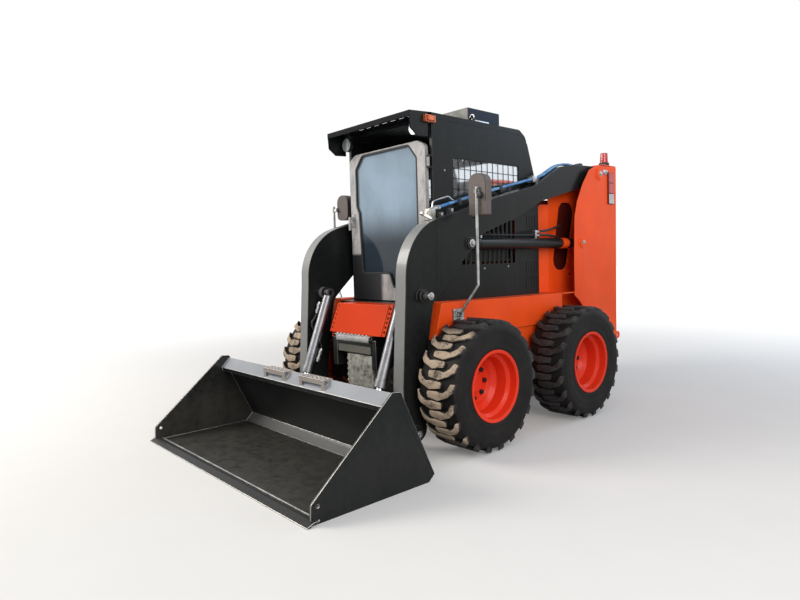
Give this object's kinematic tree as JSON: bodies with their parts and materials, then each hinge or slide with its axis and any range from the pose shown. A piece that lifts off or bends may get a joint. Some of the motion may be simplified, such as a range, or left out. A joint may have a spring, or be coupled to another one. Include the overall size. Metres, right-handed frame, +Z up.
{
  "type": "skid steer loader",
  "caption": "Compact wheeled loader with radial lift arms, low bucket, enclosed cab with a front door, uprights at the rear and chain-driven wheels.",
  "frame": {"origin": "on the ground under the middle of the overall length, midway between the wheels", "axes": "+X to the machine's left, +Y to its rear, +Z up"},
  "size_m": [1.944, 3.5079, 2.2796],
  "materials": {
    "body_paint": "gloss",
    "rim_paint": "gloss",
    "dark_paint": "gloss",
    "tyre_rubber": "matt",
    "bare_steel": "satin",
    "chrome_rod": "polished",
    "film_steel": "satin, under a protective film",
    "pane": "clear",
    "black_plastic": "fine grain",
    "seat_cover": "moulded vinyl",
    "red_lens": "moulded lens",
    "lamp_lens": "moulded lens",
    "engine_iron": "painted casting",
    "mirror_shell": "fine grain"
  },
  "bodies": {
    "chassis": {"ac_unit": "dark_paint", "beacon": "red_lens", "cab_floor": "dark_paint", "cab_rear": "dark_paint", "cab_roof": "dark_paint", "cab_sides": "dark_paint", "chain_cases": "body_paint", "chassis_frame": "dark_paint", "control_levers": "black_plastic", "engine_block": "engine_iron", "engine_hood": "body_paint", "fenders": "body_paint", "front_hydraulics": "bare_steel", "front_plate": "body_paint", "front_step": "bare_steel", "marker_lamps": "red_lens", "mirrors": "mirror_shell", "rear_bumper": "body_paint", "seat": "seat_cover", "seat_base": "black_plastic", "side_glass": "pane", "side_panels": "dark_paint", "tail_lamps": "red_lens", "upright_inner_left": "body_paint", "upright_inner_right": "body_paint", "uprights": "body_paint", "window_guards": "dark_paint", "work_lamps": "lamp_lens"},
    "wheel_front_left": {"tyre_front_left": "tyre_rubber", "rim_front_left": "rim_paint", "hub_front_left": "dark_paint"},
    "wheel_front_right": {"tyre_front_right": "tyre_rubber", "rim_front_right": "rim_paint", "hub_front_right": "dark_paint"},
    "wheel_rear_left": {"tyre_rear_left": "tyre_rubber", "rim_rear_left": "rim_paint", "hub_rear_left": "dark_paint"},
    "wheel_rear_right": {"tyre_rear_right": "tyre_rubber", "rim_rear_right": "rim_paint", "hub_rear_right": "dark_paint"},
    "arms": {"lift_arms": "dark_paint", "arm_cross_tube": "dark_paint", "arm_lines": "black_plastic"},
    "tool": {"coupler": "dark_paint", "bucket": "dark_paint", "cutting_edge": "dark_paint"},
    "lift_barrel_pair": {"lift_barrels": "dark_paint"},
    "lift_rod_pair": {"lift_rods": "chrome_rod"},
    "tilt_barrel_pair": {"tilt_barrels": "dark_paint"},
    "tilt_rod_pair": {"tilt_rods": "chrome_rod"},
    "cab_door": {"door_frame": "film_steel", "door_glass": "pane"},
    "engine_door": {"rear_door": "dark_paint"}
  },
  "joints": [
    {"name": "wheel_front_left_spin", "type": "hinge", "parent": "chassis", "child": "wheel_front_left", "pos_m": [0.769, -0.323, 0.41], "axis": [1, 0, 0], "continuous": true},
    {"name": "wheel_front_right_spin", "type": "hinge", "parent": "chassis", "child": "wheel_front_right", "pos_m": [-0.769, -0.323, 0.41], "axis": [1, 0, 0], "continuous": true},
    {"name": "wheel_rear_left_spin", "type": "hinge", "parent": "chassis", "child": "wheel_rear_left", "pos_m": [0.769, 0.777, 0.41], "axis": [1, 0, 0], "continuous": true},
    {"name": "wheel_rear_right_spin", "type": "hinge", "parent": "chassis", "child": "wheel_rear_right", "pos_m": [-0.769, 0.777, 0.41], "axis": [1, 0, 0], "continuous": true},
    {"name": "arm_lift", "type": "hinge", "parent": "chassis", "child": "arms", "pos_m": [0, 1.419, 1.857], "axis": [-1, 0, 0], "range_deg": [0, 64]},
    {"name": "bucket_tilt", "type": "hinge", "parent": "arms", "child": "tool", "pos_m": [0, -0.678, 0.125], "axis": [1, 0, 0], "range_deg": [-28, 102]},
    {"name": "lift_barrel_swing", "type": "hinge", "parent": "chassis", "child": "lift_barrel_pair", "pos_m": [0, 1.152, 1.295], "axis": [-1, 0, 0], "range_deg": [0, 64]},
    {"name": "lift_rod_slide", "type": "slide", "parent": "lift_barrel_pair", "child": "lift_rod_pair", "axis": [0, -1, -0.0015], "range_m": [0, 0.67]},
    {"name": "tilt_barrel_swing", "type": "hinge", "parent": "arms", "child": "tilt_barrel_pair", "pos_m": [0, -0.613, 0.972], "axis": [1, 0, 0], "range_deg": [-3, 11]},
    {"name": "tilt_rod_slide", "type": "slide", "parent": "tilt_barrel_pair", "child": "tilt_rod_pair", "axis": [0, -0.359, -0.9333], "range_m": [-0.102, 0.368]},
    {"name": "cab_door_swing", "type": "hinge", "parent": "chassis", "child": "cab_door", "pos_m": [0.42, -0.375, 1.4], "axis": [0, 0, -1], "range_deg": [-70, 0]},
    {"name": "engine_door_swing", "type": "hinge", "parent": "chassis", "child": "engine_door", "pos_m": [0.4323, 1.677, 1], "axis": [0, 0, -1], "range_deg": [0, 100]}
  ],
  "couplings": [
    {"joint": "lift_barrel_swing", "follows": "arm_lift", "ratio": 0.9659},
    {"joint": "lift_rod_slide", "follows": "arm_lift", "m_per_rad": 0.58783},
    {"joint": "tilt_barrel_swing", "follows": "bucket_tilt", "ratio": 0.1},
    {"joint": "tilt_rod_slide", "follows": "bucket_tilt", "m_per_rad": 0.205}
  ]
}
